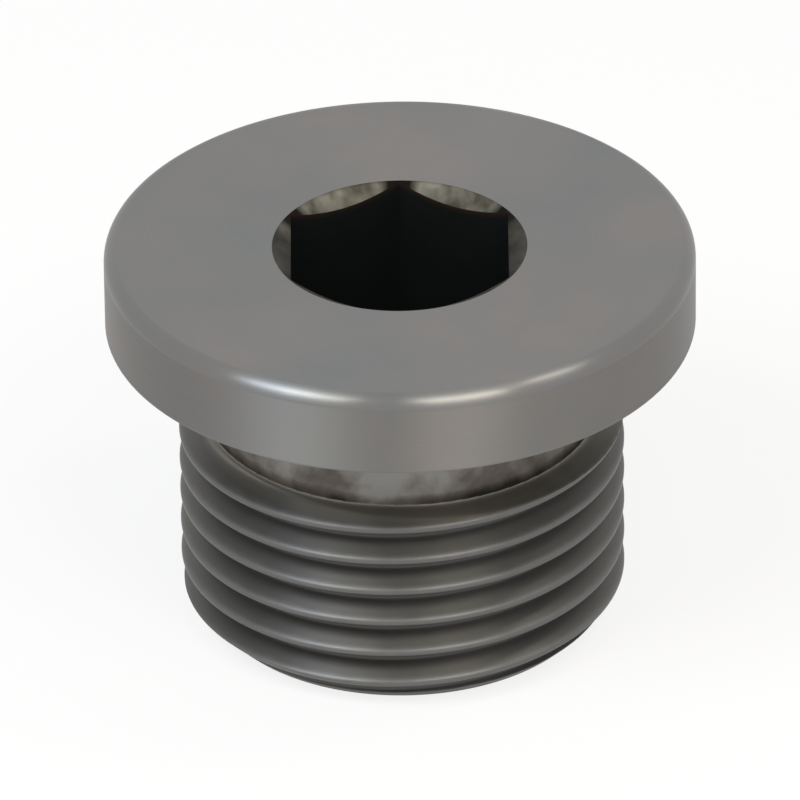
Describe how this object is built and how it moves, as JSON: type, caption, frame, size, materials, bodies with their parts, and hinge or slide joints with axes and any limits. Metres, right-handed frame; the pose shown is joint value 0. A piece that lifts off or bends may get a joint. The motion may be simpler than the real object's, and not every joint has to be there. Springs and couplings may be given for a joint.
{
  "type": "hex socket plug",
  "caption": "Threaded steel screw plug with a wide round collar and a hexagon socket, which closes an oil or fluid port on a flat sealing ring.",
  "frame": {"origin": "centre of the flat sealing face under the collar", "axes": "+Z along the plug's axis, from the threaded end towards the collar and the socket's mouth; +Y through one corner of the hexagon socket"},
  "size_m": [0.022, 0.022, 0.0152],
  "materials": {
    "steel": "turned steel, dull grey, with darker stains in the undercut"
  },
  "bodies": {
    "root": {"threaded_plug": "steel"}
  },
  "joints": []
}
